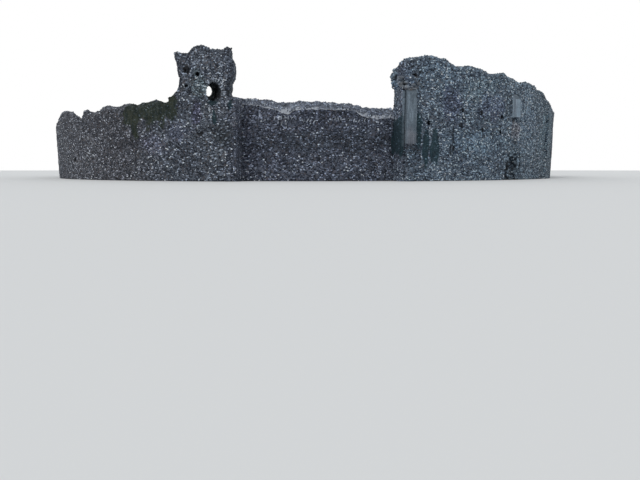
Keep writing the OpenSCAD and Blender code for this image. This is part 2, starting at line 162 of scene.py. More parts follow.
class Net(Nodes):
    """The node tree of one material."""

    def __init__(self, name):
        self.material = bpy.data.materials.new(name)
        self.material.use_nodes = True
        super().__init__(self.material.node_tree)
        self.place = self.node("ShaderNodeTexCoord", out="Object")

    def math(self, operation, a, b):
        return self.node("ShaderNodeMath", {0: a, 1: b}, operation=operation)

    def times(self, a, b):
        return self.math("MULTIPLY", a, b)

    def plus(self, a, b):
        return self.math("ADD", a, b)

    def minus(self, a, b):
        return self.math("SUBTRACT", a, b)

    def mix(self, share, a, b, blend="MIX"):
        """Two colours mixed. The colour sockets of this node are 6, 7 and, for the result, 2."""
        return self.node("ShaderNodeMix", {0: share, 6: a, 7: b}, 2, data_type="RGBA", blend_type=blend)

    def tinted(self, colour, tint):
        return self.mix(1.0, colour, tint, "MULTIPLY")

    def remap(self, value, a, b, low=0.0, high=1.0):
        """Goes smoothly from low to high while the value goes from a to b."""
        return self.node("ShaderNodeMapRange", {0: value, 1: a, 2: b, 3: low, 4: high},
                         interpolation_type="SMOOTHSTEP")

    def ramp(self, value, stops, kind="LINEAR"):
        n = self.tree.nodes.new("ShaderNodeValToRGB")
        n.color_ramp.interpolation = kind
        while len(n.color_ramp.elements) < len(stops):
            n.color_ramp.elements.new(0.5)
        for e, (at, colour) in zip(n.color_ramp.elements, stops):
            e.position = at
            e.color = (*colour, 1)
        self.put(n.inputs[0], value)
        return n.outputs[0]

    def noise(self, scale, detail=3.0, rough=0.55, vector=None):
        return self.node("ShaderNodeTexNoise", {"Vector": vector or self.place, "Scale": scale,
                                                "Detail": detail, "Roughness": rough}, out="Fac")

    def carried(self, label, out="Fac"):
        """A value that the mesh carries at each of its points."""
        return self.node("ShaderNodeAttribute", out=out, attribute_name=label)

    def axes(self):
        return self.node("ShaderNodeSeparateXYZ", {0: self.place}, out=None).outputs

    def grey(self, value):
        return self.node("ShaderNodeCombineXYZ", {0: value, 1: value, 2: value})

    def scaled(self, factors):
        """The place, times a factor each way."""
        return self.node("ShaderNodeVectorMath", {0: self.place, 1: factors}, operation="MULTIPLY")

    def finish(self, colour, roughness, height=None, distance=0.01, specular=0.3):
        """The material with this colour and, where a height is given, its relief in metres."""
        ins = {"Base Color": colour, "Roughness": roughness, "Specular IOR Level": specular}
        if height is not None:
            ins["Normal"] = self.node("ShaderNodeBump", {"Height": height, "Distance": distance,
                                                         "Strength": 0.9})
        self.node("ShaderNodeOutputMaterial", {0: self.node("ShaderNodeBsdfPrincipled", ins)}, None)
        return self.material


def srgb(r, g, b):
    """A colour given as 0 to 255 in each channel, as linear light."""
    return tuple(c / 3294.6 if c <= 10 else ((c / 255 + 0.055) / 1.055) ** 2.4 for c in (r, g, b))


def shade(factor, colour):
    return tuple(factor * c for c in colour)


ALGAE = srgb(18, 41, 50)
MOSS = srgb(20, 33, 22)

# Broad tones of the weathered faces: bearing, height, half width in degrees, half height, factors. Those
# at bearings -11.0, -10.6 and -9.7 are painted light that lifts the shade on the tower's right-hand end
# and beside it
TONES = [(-29.5, 1.3, 4.2, 0.42, (0.79, 0.79, 0.8)), (-24.5, 1.22, 2.5, 0.36, (1.3, 1.26, 1.38)),
         (-20.2, 1.55, 2.1, 0.34, (1.3, 1.26, 1.38)), (-13.4, 1.6, 2.0, 0.28, (0.58, 0.59, 0.58)),
         (-14.0, 2.24, 1.8, 0.25, (1.34, 1.3, 1.26)), (-33.0, 1.9, 5.0, 0.3, (0.85, 0.85, 0.85)),
         (-16.3, 3.0, 1.1, 0.42, (1.1, 1.2, 1.12)), (-16.6, 2.2, 0.8, 0.42, (0.66, 0.6, 0.74)),
         (15.5, 1.35, 0.9, 0.28, (1.18, 1.02, 1.0)), (1.3, 1.3, 15.0, 0.32, (0.72, 0.74, 0.74)),
         (22.9, 2.5, 1.7, 0.65, (0.78, 0.74, 0.84)), (31.6, 2.6, 3.0, 0.5, (0.8, 0.76, 0.86)),
         (38.2, 1.83, 1.6, 0.3, (1.6, 1.3, 1.2)), (15.6, 1.0, 1.4, 0.22, (0.68, 0.72, 0.72)),
         (-15.5, 3.4, 4.5, 0.55, (1.2, 1.2, 1.2)), (20.0, 3.4, 3.5, 0.5, (1.15, 1.2, 1.2)),
         (29.0, 3.05, 4.5, 0.4, (1.25, 1.3, 1.24)), (43.0, 2.3, 3.5, 0.9, (1.12, 1.14, 1.18)),
         (29.0, 2.2, 4.5, 0.28, (0.88, 0.88, 0.88)), (-10.6, 1.4, 0.3, 1.6, (1.14, 1.13, 1.13)),
         (10.8, 2.25, 1.6, 0.12, (0.84, 0.86, 0.9)), (28, 1.35, 7.5, 0.4, (1.2, 1.27, 1.29)),
         (35.9, 1.7, 0.7, 0.35, (0.92, 0.89, 0.86)), (14.2, 2.65, 0.3, 0.6, (1.36, 1.38, 1.4)),
         (37.8, 2.7, 0.8, 0.5, (1.05, 1.1, 1.12)), (15.0, 3.3, 0.9, 0.3, (1.18, 1.26, 1.34)),
         (43.0, 1.6, 4.0, 1.2, (1.06, 1.08, 1.09)), (52.0, 1.8, 3.0, 1.0, (1.07, 1.15, 1.15)),
         (-11.0, 3.0, 0.6, 0.7, (1.25, 1.25, 1.25)), (-9.7, 1.4, 0.8, 1.2, (1.15, 1.14, 1.14)),
         (56.0, 0.7, 4.5, 0.6, (0.7, 0.72, 0.74)), (100, 2.4, 6, 0.7, (0.8, 0.85, 0.75)),
         (-128, 2.0, 7, 0.6, (0.82, 0.78, 0.86)), (-85, 1.2, 7, 0.6, (1.2, 1.2, 1.25))]
# Growths: bearing, height, half width in degrees, half height, strength
MOSSES = [(-28.7, 2.27, 2.6, 0.42, 0.92), (-24.4, 2.3, 3.0, 0.42, 0.95), (-21.2, 2.45, 1.3, 0.5, 0.9),
          (-28.2, 1.8, 0.9, 0.42, 0.75), (-25.6, 1.9, 0.7, 0.3, 0.6), (-22.8, 1.95, 0.8, 0.3, 0.62),
          (88, 2.3, 3, 0.4, 0.5), (97, 2.45, 4, 0.35, 0.55), (104, 2.3, 2.5, 0.3, 0.45),
          (140, 2.6, 3, 0.3, 0.45), (-155, 2.3, 4, 0.3, 0.55), (-147, 2.4, 2.5, 0.4, 0.45),
          (-98, 2.5, 3, 0.3, 0.5), (-92, 2.6, 3, 0.35, 0.5), (-70, 2.4, 3, 0.3, 0.5)]
# The thin band under the window's mouth (-13.9, 2.5) is dark algae that also stands as painted shade in
# the window's reveal
ALGAES = [(14.25, 1.45, 0.3, 0.62, 1.0), (17.0, 1.5, 0.5, 0.66, 0.66), (18.3, 1.15, 0.55, 0.54, 1.3),
          (19.9, 1.2, 0.75, 0.58, 1.4), (-13.8, 2.0, 0.4, 0.26, 0.8), (-13.9, 2.5, 0.9, 0.07, 0.9),
          (-11.4, 2.4, 0.5, 0.14, 0.6), (150, 0.4, 4, 0.5, 0.5), (-70, 0.3, 4, 0.4, 0.5)]
# Notches deeper than the rest of the broken tops: bearing as seen from the front, depth, half width
NOTCHES = [(-42.5, 0.16, 1.15)]
# Hollows where stones fell out, open joints and shadow lines, painted near-black as shade and pushed in
# a little: bearing, height, half width, half height
SHADED_HOLLOWS = [(-18.1, 3.56, 0.11, 0.085), (-16.3, 3.40, 0.06, 0.04), (-18.2, 3.05, 0.045, 0.04),
           (-16.2, 1.55, 0.12, 0.07), (14.3, 3.10, 0.1, 0.018), (16.1, 3.37, 0.06, 0.07),
           (14.6, 2.05, 0.008, 0.85), (53.5, 2.32, 0.06, 0.06), (16.35, 2.74, 0.035, 0.07),
           (18.7, 1.91, 0.06, 0.06), (24.7, 1.85, 0.05, 0.05), (24.8, 2.38, 0.05, 0.05),
           (29.2, 1.77, 0.05, 0.05), (28.8, 2.34, 0.05, 0.05), (34.1, 2.25, 0.055, 0.05),
           (33.9, 1.70, 0.05, 0.05), (34.0, 1.27, 0.05, 0.05), (30.5, 2.53, 0.06, 0.055),
           (34.2, 2.27, 0.04, 0.05), (-20.0, 1.10, 0.06, 0.05), (-46.7, 0.76, 0.075, 0.07),
           (-50.7, 0.80, 0.075, 0.07), (23.3, 1.5, 0.035, 0.3), (23.4, 1.12, 0.035, 0.2),
           (22.8, 1.05, 0.03, 0.15), (40.2, 0.7, 0.035, 0.42), (48.0, 0.7, 0.04, 0.4),
           (52.8, 0.65, 0.05, 0.4), (36.3, 0.5, 0.1, 0.2), (36.7, 2.9, 0.03, 0.16),
           (37.6, 2.2, 0.07, 0.06)]

# Tint of the masonry round the ring, by bearing
TINTS = [(-180, srgb(84, 91, 100)), (-66, srgb(80, 84, 92)), (-30, srgb(79, 82, 90)),
         (-21, srgb(77, 84, 95)), (-12, srgb(80, 87, 98)), (-10.5, srgb(76, 82, 96)),
         (14, srgb(75, 82, 96)), (14.6, srgb(89, 102, 117)), (30, srgb(93, 108, 124)),
         (45, srgb(98, 113, 127)), (62, srgb(90, 102, 113)), (110, srgb(84, 92, 101)),
         (180, srgb(84, 91, 100))]
# How pale the worn tops of each wall are, and how pale they are where their edges show mortar
CROWN_PALE = {"flint_left": 0.3, "flint_tower": 0.2, "flint_low": 0.9, "flint_high": 0.22,
              "flint_rear": 0.35}
PALE_EDGE_FROM = 0.5
# Kinds of wall, by the first word of the name: slot of the material, and tint of the loose stones
KINDS = {"left": ("flint_left", srgb(84, 86, 93)), "tower": ("flint_tower", srgb(78, 85, 95)),
         "low": ("flint_low", srgb(96, 101, 112)), "high": ("flint_high", srgb(86, 98, 109)),
         "pilaster": ("flint_high", srgb(86, 94, 103)), "rear": ("flint_rear", srgb(84, 88, 95)),
         "gate": ("flint_rear", srgb(84, 88, 95))}
HIDDEN_KINDS = ("rear", "gate")
RUBBLE = ("pilaster_1_foot", "pilaster_1_head", "pilaster_3")
# Loose stones in front and on the hidden side: to a square metre of worn top and of face, the gap
# between those on top, and how finely a ball is divided for them
STREWN = {False: (150, 16, 0.078, 2), True: (90, 4, 0.105, 1)}
FEWEST = 4
# Tones of loose flints: share of them from which each tone holds, and factor of their tint
LOOSE_TONES = [(0.0, 0.3), (0.25, 0.7), (0.5, 1), (0.72, 1.6), (0.88, 2.6)]


def bearing_node(net):
    x, y, _ = net.axes()
    return net.times(net.math("ARCTAN2", x, net.times(y, -1.0)), 180 / math.pi)


def weathered_and_shaded(net, colour, fine, bare=1.0):
    """The colour under the tones, growths and hollows that the mesh carries; the hollows are painted
    near-black as shade, and some tones are painted light.
    """
    colour = net.tinted(colour, net.carried("tone", "Color"))
    streaks = net.noise(1.0, 4.0, 0.6, net.scaled((11.0, 11.0, 2.4)))
    clumps = net.noise(9.0, 4.0, 0.7)
    speck = net.times(net.minus(fine, 0.5), 0.6)
    for label, dark, light, rag, amount in (("moss", MOSS, srgb(52, 58, 42), clumps, 2.1),
                                            ("algae", ALGAE, srgb(29, 55, 63), streaks, 1.9)):
        grown = net.carried(label)
        share = net.plus(net.plus(grown, net.times(net.minus(rag, 0.5), amount)), speck)
        share = net.remap(share, 0.36, 0.62, 0.0, 0.95 * bare)
        share = net.times(share, net.remap(grown, 0.0, 0.12))
        film = net.mix(net.remap(streaks, 0.42, 0.58), dark, light)
        film = net.mix(0.26, film, net.tinted(colour, (0.42, 0.5, 0.5)))
        colour = net.mix(share, colour, film)
    # Painted shade: near-black in the hollows, open joints and shadow lines
    colour = net.mix(net.times(net.carried("hollow"), 0.9), colour, srgb(16, 18, 22))
    return net.mix(1.0, colour, (0.66, 0.69, 0.73), "DARKEN")


def tint_round(net):
    """The masonry's tint, which changes round the ring and in broad patches."""
    first, last = TINTS[0][0], TINTS[-1][0]
    turn = net.math("DIVIDE", net.minus(bearing_node(net), float(first)), float(last - first))
    tint = net.ramp(turn, [((b - first) / (last - first), c) for b, c in TINTS])
    patches = net.ramp(net.noise(0.9, 3.0), [(0.3, (0.78, 0.78, 0.8)), (0.7, (1.22, 1.22, 1.2))])
    return net.tinted(tint, patches)


def flint_wall(name, crown_pale):
    """Flint rubble: split flints with pale rinds in weathered mortar, painted shade in the gaps and
    where the facing is gone, with growth and lichen.
    """
    net = Net(name)
    cells = net.scaled(FLINT)
    cell = net.node("ShaderNodeTexVoronoi", {"Vector": cells, "Scale": 1.0}, out="Color")
    edge = net.node("ShaderNodeTexVoronoi", {"Vector": cells, "Scale": 1.0}, out="Distance",
                    feature="DISTANCE_TO_EDGE")
    pick = net.node("ShaderNodeSeparateColor", {0: cell}, out=None).outputs
    fine = net.noise(38.0, 4.0, 0.65)
    middle = net.noise(5.5, 3.0)

    # Flints as factors of the tint, some with a pale rind or a brown skin, mortar between them, and
    # painted shade in the narrowest gaps
    stone = net.ramp(pick[0], [(0.0, (0.06, 0.07, 0.09)), (0.26, (0.15, 0.17, 0.22)),
                               (0.48, (0.4, 0.43, 0.49)), (0.64, (1.05, 1.05, 1.05)),
                               (0.78, (2.4, 2.35, 2.3)), (0.89, (4.7, 4.6, 4.5)),
                               (0.965, (9.2, 9.0, 8.8))], "CONSTANT")
    rind = net.times(net.remap(edge, 0.2, 0.08), net.remap(pick[1], 0.62, 0.7))
    stone = net.mix(rind, stone, (2.6, 2.5, 2.4))
    stone = net.mix(net.times(net.remap(pick[2], 0.86, 0.9), 0.8), stone, (1.2, 0.92, 0.75))
    stone = net.tinted(stone, net.grey(net.remap(fine, 0.3, 0.7, 0.5, 1.6)))
    mortar = net.mix(net.remap(middle, 0.38, 0.62), (0.6, 0.6, 0.6), (1.2, 1.16, 1.1))
    joint = net.remap(net.plus(edge, net.times(net.minus(fine, 0.5), 0.08)), 0.10, 0.045)
    rough_wall = net.mix(joint, stone, mortar)
    # Painted shade: near-black in patches of the narrowest gaps where the flints meet
    gap = net.times(net.remap(edge, 0.05, 0.0), net.remap(middle, 0.62, 0.4))
    rough_wall = net.mix(net.times(gap, 0.85), rough_wall, (0.1, 0.1, 0.12))
    colour = net.tinted(rough_wall, tint_round(net))

    # Lichen on what faces up, and pale mortar along the edge of the worn crown
    crown = net.carried("crown")
    bleached = net.tinted(colour, tuple(1 + c * crown_pale for c in (0.95, 1.0, 0.98)))
    colour = net.mix(crown, colour, bleached)
    pale = net.times(crown, net.remap(net.noise(16.0, 5.0, 0.7), 0.42, 0.56))
    colour = net.mix(net.times(pale, 0.45 * crown_pale), colour, srgb(150, 155, 164))
    if crown_pale > PALE_EDGE_FROM:
        arris = net.times(crown, net.minus(1.0, crown))
        arris = net.times(net.remap(arris, 0.0, 0.08), net.remap(middle, 0.34, 0.46))
        colour = net.mix(net.times(arris, 0.9), colour, srgb(186, 191, 200))
    # Painted shade: darker the deeper a point lies behind the wall's face, where the facing is gone
    dark = net.remap(net.carried("depth"), 0.02, 0.12, 0.0, 0.42)
    colour = net.mix(dark, colour, net.mix(joint, srgb(44, 49, 58), srgb(30, 33, 38)))
    colour = weathered_and_shaded(net, colour, fine)

    height = net.plus(net.times(net.remap(edge, 0.0, 0.16), 0.8), net.times(fine, 0.35))
    return net.finish(colour, net.remap(pick[0], 0.0, 0.6, 0.62, 0.9), height, 0.014)


def dressed_stone(name, light, dark):
    """Smooth dressed stone: a slightly different tone for each block, pores, streaks and stains."""
    net = Net(name)
    island = net.node("ShaderNodeNewGeometry", out="Random Per Island")
    colour = net.mix(island, light, dark)
    cloudy = net.noise(3.5, 4.0)
    pores = net.noise(42.0, 5.0, 0.7)
    runs = net.noise(1.0, 4.0, 0.6, net.scaled((14.0, 14.0, 1.6)))
    colour = net.mix(net.remap(cloudy, 0.35, 0.7, 0.0, 0.35), colour, shade(0.62, light))
    colour = net.mix(net.remap(runs, 0.4, 0.62, 0.0, 0.5), colour, shade(0.5, dark))
    colour = net.mix(net.remap(runs, 0.46, 0.34, 0.0, 0.5), colour, shade(1.5, light))
    colour = net.mix(net.remap(pores, 0.54, 0.64, 0.0, 0.6), colour, shade(0.35, dark))
    colour = net.mix(net.remap(pores, 0.44, 0.36, 0.0, 0.6), colour, shade(1.7, light))
    low_down = net.remap(net.axes()[2], 1.6, 0.2, 0.1, 0.7)
    colour = net.mix(net.times(net.remap(cloudy, 0.5, 0.62), low_down), colour, ALGAE)
    colour = weathered_and_shaded(net, colour, pores, 0.6)
    height = net.plus(net.times(pores, 0.6), net.times(cloudy, 0.6))
    return net.finish(colour, net.remap(pores, 0.3, 0.7, 0.7, 0.92), height, 0.004)


def loose_stone(name, stops, rind):
    """Single flints and rubble stones, a tone to each, with pale rinds and chipped faces."""
    net = Net(name)
    island = net.node("ShaderNodeNewGeometry", out="Random Per Island")
    fine = net.noise(30.0, 4.0, 0.65)
    patchy = net.noise(9.0, 3.0)
    colour = net.ramp(island, stops, "CONSTANT")
    colour = net.mix(net.remap(patchy, 0.52, 0.6, 0.0, 0.6), colour, rind)
    colour = net.tinted(colour, net.grey(net.remap(fine, 0.3, 0.7, 0.7, 1.3)))
    colour = weathered_and_shaded(net, colour, fine, 0.85)
    return net.finish(colour, net.remap(fine, 0.3, 0.7, 0.6, 0.9), fine, 0.006)


def loose_flints(name, tint):
    """Loose flints of one wall, from dark to pale round its tint."""
    stops = [(at, shade(factor, tint)) for at, factor in LOOSE_TONES]
    return loose_stone(name, stops, shade(1.9, tint))


def mortar_bed(name, colour):
    net = Net(name)
    fine = net.noise(45.0, 5.0, 0.7)
    colour = net.mix(net.remap(fine, 0.35, 0.65), shade(0.6, colour), colour)
    return net.finish(colour, net.remap(fine, 0.3, 0.7, 0.85, 0.95), fine, 0.006)


# Wall meshes

def linked(name, data):
    """A new object in the scene."""
    obj = bpy.data.objects.new(name, data)
    bpy.context.scene.collection.objects.link(obj)
    return obj


def evaluated(obj):
    return obj.evaluated_get(bpy.context.evaluated_depsgraph_get())


def cap_planes():
    """Bearings at which one length of wall meets the next."""
    joints = [joint_at(k) for k in range(LENGTHS)]
    return [TOWER_LEFT, TOWER_RIGHT, HIGH_END, (TOWER_RIGHT + HIGH_END) / 2] + joints


def rear_cuts(name):
    """Bearings of the upright cuts through a hidden length of wall."""
    length = GATE_LENGTH
    if name.startswith("rear_curtain"):
        length = FIRST_REAR + int(name.rsplit("_", 1)[1]) - 1
        length += length >= GATE_LENGTH
    return [joint_at(length) + REAR_SPLIT * (k + 0.5) for k in range(round(JOINT_PITCH / REAR_SPLIT))]


def facing_in(face):
    """True for a face of the wall's inner side."""
    centre = face.calc_center_median()
    return face.normal.x * centre.x + face.normal.y * centre.y < -0.5 * math.hypot(centre.x, centre.y)


def finer(name, rise, cuts=()):
    """A copy of a node's mesh, cut into level rows and subdivided. The inner side has half the rows."""
    near_cut, near_point = 0.0004, 0.0006
    bm = bmesh.new()
    bm.from_mesh(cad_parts[name].data)
    bmesh.ops.remove_doubles(bm, verts=bm.verts, dist=near_point)
    bmesh.ops.dissolve_limit(bm, angle_limit=math.radians(0.3), verts=bm.verts, edges=bm.edges,
                             delimit=set())
    top = max(v.co.z for v in bm.verts)
    for bearing in cuts:
        a = math.radians(bearing)
        bmesh.ops.bisect_plane(bm, geom=bm.verts[:] + bm.edges[:] + bm.faces[:], dist=near_cut,
                               plane_co=(0, 0, 0), plane_no=(math.cos(a), math.sin(a), 0))
    for k in range(1, int(top / rise) + 1):
        faces = [f for f in bm.faces if k % 2 == 0 or not facing_in(f)]
        edges = {e for f in faces for e in f.edges}
        verts = {v for f in faces for v in f.verts}
        bmesh.ops.bisect_plane(bm, geom=list(verts) + list(edges) + faces, dist=near_cut,
                               plane_co=(0, 0, rise * k), plane_no=(0, 0, 1))
    mesh = bpy.data.meshes.new(name + "_dressed")
    bm.to_mesh(mesh)
    bm.free()
    obj = linked(name + "_dressed", mesh)
    sub = obj.modifiers.new("finer", "SUBSURF")
    sub.subdivision_type, sub.levels = "SIMPLE", 2
    done = bpy.data.meshes.new_from_object(evaluated(obj))
    obj.modifiers.clear()
    obj.data = done
    bpy.data.meshes.remove(mesh)
    return obj


def gathered(items, key, width=1, kind=float):
    """One property of all items, as an array with a row for each."""
    values = np.empty(len(items) * width, kind)
    items.foreach_get(key, values)
    return values.reshape(-1, width) if width > 1 else values


def points_of(mesh):
    return gathered(mesh.vertices, "co", 3)


def face_data(mesh):
    """Normal, centre and area of every face, and the vertex of every corner with its face."""
    faces = mesh.polygons
    owner = np.repeat(np.arange(len(faces)), gathered(faces, "loop_total", kind=np.int32))
    return (gathered(faces, "normal", 3), gathered(faces, "center", 3), gathered(faces, "area"),
            gathered(mesh.loops, "vertex_index", kind=np.int32), owner)


def carry(mesh, label, values):
    """The mesh carries a number at each point, for the materials to read."""
    kept = mesh.attributes.new(label, "FLOAT", "POINT")
    kept.data.foreach_set("value", values.astype(np.float32))


def hidden_faces(name, normal, centre):
    """Faces that lie against a neighbour or on the ground, which stay as they are."""
    same_way, same_bearing, over_arch = 0.985, 0.02, 2.6
    b = bearing_of(centre)
    tangent = np.stack([np.cos(np.radians(b)), np.sin(np.radians(b)), 0 * b], 1)
    sideways = np.abs((normal * tangent).sum(1)) > same_way
    hidden = centre[:, 2] < ON_GROUND
    for plane in cap_planes():
        hidden |= sideways & (np.abs(turn_from(b, plane)) < same_bearing)
    if name.startswith("tower"):
        level = np.abs(normal[:, 2]) > same_way
        hidden |= level & (np.abs(centre[:, 2] - TOWER_BED) < 0.002)
    if name.startswith("gate_wall"):
        out = np.stack([np.sin(np.radians(b)), -np.cos(np.radians(b)), 0 * b], 1)
        hidden |= (np.abs((normal * out).sum(1)) < 0.5) & (centre[:, 2] < over_arch)
        hidden |= sideways
    return hidden


def voronoi_at(points):
    """The flint pattern's distance to the edge and tone at points, the same as the shader's."""
    mesh = bpy.data.meshes.new("probe")
    mesh.from_pydata(points.tolist(), [], [])
    obj = linked("probe", mesh)
    tree = bpy.data.node_groups.new("probe", "GeometryNodeTree")
    net = Nodes(tree)
    for way in ("INPUT", "OUTPUT"):
        tree.interface.new_socket("Geometry", in_out=way, socket_type="NodeSocketGeometry")
    cells = net.node("ShaderNodeVectorMath", {0: net.node("GeometryNodeInputPosition"), 1: FLINT},
                     operation="MULTIPLY")
    last = net.node("NodeGroupInput")
    for label, feature, out, kind in (("edge", "DISTANCE_TO_EDGE", "Distance", "FLOAT"),
                                      ("tone", "F1", "Color", "FLOAT_VECTOR")):
        value = net.node("ShaderNodeTexVoronoi", {"Vector": cells, "Scale": 1.0}, out, feature=feature)
        last = net.node("GeometryNodeStoreNamedAttribute",
                        {"Geometry": last, "Name": label, "Value": value}, data_type=kind)
    net.node("NodeGroupOutput", {0: last}, None)
    obj.modifiers.new("probe", "NODES").node_group = tree
    done = evaluated(obj).data
    edge = gathered(done.attributes["edge"].data, "value")
    tone = gathered(done.attributes["tone"].data, "vector", 3)
    bpy.data.objects.remove(obj)
    bpy.data.meshes.remove(mesh)
    bpy.data.node_groups.remove(tree)
    return edge, tone


def near_patch(points, bearing, height, wide, tall, rag=0.45):
    """How far each point is from the middle of a patch, 1 on its edge, which is made ragged."""
    across = turn_from(bearing_of(points), bearing) / wide
    up = (points[:, 2] - height) / tall
    far = np.hypot(across, up)
    close = far < 2.2
    near = points[close]
    far[close] += rag * lumps(near * [1, 1, 0.5], 0.22, 31) + 0.5 * rag * lumps(near, 0.09, 32)
    return far


def weather_and_shade(points):
    """Tone, moss, algae and hollow at every point. The hollow is painted shade, and some tones are
    painted light.
    """
    tone, moss, algae, hollow = np.ones((len(points), 3)), *np.zeros((3, len(points)))
    for *patch, factors in TONES:
        share = smooth(near_patch(points, *patch), 1.35, 0.6)
        tone *= 1 + (np.array(factors) - 1) * share[:, None]
    for places, kept in ((MOSSES, moss), (ALGAES, algae)):
        for *patch, strength in places:
            share = smooth(near_patch(points, *patch, 0.3), 1.3, 0.7)
            np.maximum(kept, strength * share, out=kept)
    for bearing, height, wide, tall in SHADED_HOLLOWS:
        wide = math.degrees(wide / OUT_R)
        share = smooth(near_patch(points, bearing, height, wide, tall, 0.15), 1.35, 0.85)
        np.maximum(hollow, share, out=hollow)
    inner_half = radius_of(points) < (IN_R + OUT_R) / 2
    hollow[inner_half] = 0
    algae[inner_half & (points[:, 1] < 0) & (bearing_of(points) > HIGH_END + 0.1)] = 0
    return tone, moss, algae, hollow


def keep_weather_and_shade(mesh, tone, moss, algae, hollow):
    kept = mesh.attributes.new("tone", "FLOAT_COLOR", "POINT")
    opaque = np.column_stack([tone, np.ones(len(tone))])
    kept.data.foreach_set("color", opaque.astype(np.float32).ravel())
    carry(mesh, "moss", moss)
    carry(mesh, "algae", algae)
    carry(mesh, "hollow", hollow)


def notch_depth(points):
    """How far down the notches take the points, along lines that fan out from in front."""
    start = np.array([0.0, -28.7])
    fade, full = 0.7, 0.2
    way = points[:, :2] - start
    way /= np.linalg.norm(way, axis=1)[:, None]
    along = -(way @ start)
    reach = along - np.sqrt(np.maximum(OUT_R ** 2 - (start @ start - along ** 2), 0))
    seen = bearing_of(start + way * reach[:, None])
    down = np.zeros(len(points))
    for bearing, depth, wide in NOTCHES:
        near = (np.abs(seen - bearing) < wide) & (points[:, 1] < 0)
        top = points[near, 2].max()
        share = 1 - np.abs(seen[near] - bearing) / wide
        down[near] = depth * share * smooth(points[near, 2], top - fade, top - full)
    return down


def crown_share(points, normals):
    """How far a point is part of the weathered top: it faces up and lies near the skyline."""
    bins = np.round(bearing_of(points) * 2).astype(int)
    tops = {}
    for key in np.unique(bins):
        tops[key] = points[bins == key, 2].max()
    near = np.array([tops[k] for k in bins]) - points[:, 2]
    return smooth(normals[:, 2], 0.05, 0.45) * smooth(near, 0.75, 0.45)


def core_depth(points, normals, crown):
    """How far behind the wall's face a point lies where the facing is gone, and 0 elsewhere."""
    deepest, at_end, inside = 0.34, 0.6, 0.02
    radius = radius_of(points)
    b = bearing_of(points)
    out = (normals[:, :2] * points[:, :2]).sum(1) / np.maximum(radius, 1)
    low = (b > TOWER_RIGHT + inside) & (b < HIGH_END - inside)
    face_r = np.where(low, LOW_OUT, OUT_R)
    depth = np.where((out > -0.3) & (radius > face_r - deepest), face_r - radius, 0) * (crown < 0.05)
    depth[np.abs(normals[:, 2]) > 0.9] = 0
    for end in (TOWER_LEFT, TOWER_RIGHT, HIGH_END):
        depth[np.abs(b - end) < at_end] = 0
    return np.maximum(depth, 0)


def in_window(points):
    """True in the tower window's broken mouth, behind the wall's face, which is painted darker as shade.
    """
    half_w, half_h, front, back = 1.3, 0.34, 0.02, 0.3
    radius = radius_of(points)
    across = (bearing_of(points) - WINDOW_AT) / half_w
    up = (points[:, 2] - WINDOW_Z) / half_h
    return (np.hypot(across, up) < 1) & (radius < OUT_R - front) & (radius > IN_R + back)


def shared_normals(points, pushes):
    """Unit normals that are alike for all points at one place, and 0 where no face shows."""
    millimetres = np.round(points * 1000).astype(np.int64)
    same = np.unique(millimetres, axis=0, return_inverse=True)[1].ravel()
    merged = np.stack([np.bincount(same, pushes[:, axis]) for axis in range(3)], 1)[same]
    length = np.linalg.norm(merged, axis=1)
    still = length < 1e-7
    merged[~still] /= length[~still, None]
    merged[still] = 0
    return merged


def spans(data):
    """The slice of the joined points that belongs to each wall."""
    start = 0
    for _, points, _ in data:
        yield slice(start, start + len(points))
        start += len(points)


def wear_walls(walls):
    """Moves every visible point by the flint pattern, lumps and pits, alike on both sides of a joint."""
    stone_relief, swell, pit, hollow_relief = 0.022, 0.012, 0.045, 0.05
    crown_swell, crown_stone = 0.028, 0.012
    data = []
    for name, obj in walls.items():
        points = points_of(obj.data)
        normal, centre, area, corner, owner = face_data(obj.data)
        shown = ~hidden_faces(name, normal, centre)
        push = np.zeros_like(points)
        for axis in range(3):
            push[:, axis] = np.bincount(corner, (normal[:, axis] * area * shown)[owner], len(points))
        data.append((obj.data, points, push))
    everything = np.concatenate([points for _, points, _ in data])
    normals = shared_normals(everything, np.concatenate([push for _, _, push in data]))

    edge, tone = voronoi_at(everything)
    crown = np.concatenate([crown_share(points, normals[span])
                            for (_, points, _), span in zip(data, spans(data))])
    stone = smooth(edge, 0.0, 0.22) * (0.35 + 0.9 * tone[:, 1])
    broad = lumps(everything, 0.75, 3) + 0.6 * lumps(everything, 0.33, 4)
    pits = smooth(lumps(everything, 0.13, 5), 0.62, 0.86) * smooth(lumps(everything, 1.1, 6), -0.2, 0.4)
    top = lumps(everything, 0.21, 7) + 0.7 * lumps(everything, 0.11, 8)
    move = stone_relief * (stone - 0.45) + swell * broad - pit * pits
    move += crown * (crown_swell * top + crown_stone * (stone - 0.4))
    signs = weather_and_shade(everything)
    move -= hollow_relief * signs[3]
    # Painted shade: the tone in the window's mouth is cut to a third
    signs[0][in_window(everything)] *= 0.3
    shifted = everything + normals * move[:, None]
    shifted[:, 2] -= notch_depth(everything)
    shifted[everything[:, 2] < ON_GROUND, 2] = 0
    shifted[:, 2] = np.maximum(shifted[:, 2], 0)
    # Depth behind the face, which the flint material turns into painted shade
    depth = core_depth(everything, normals, crown)
    for (mesh, _, _), span in zip(data, spans(data)):
        mesh.vertices.foreach_set("co", shifted[span].ravel())
        carry(mesh, "crown", crown[span])
        carry(mesh, "depth", depth[span])
        keep_weather_and_shade(mesh, *(sign[span] for sign in signs))
        mesh.polygons.foreach_set("use_smooth", np.ones(len(mesh.polygons), bool))
        mesh.update()


def own(obj, material, slot_name, *nodes):
    """The object takes a material, rides on the ring and stands for its nodes."""
    obj.data.materials.clear()
    obj.data.materials.append(material)
    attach(obj, "root")
    if nodes:
        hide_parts(*nodes)


def kind_of(name):
    """The first word of a wall's name, such as low or tower."""
    return name.split("_")[0]


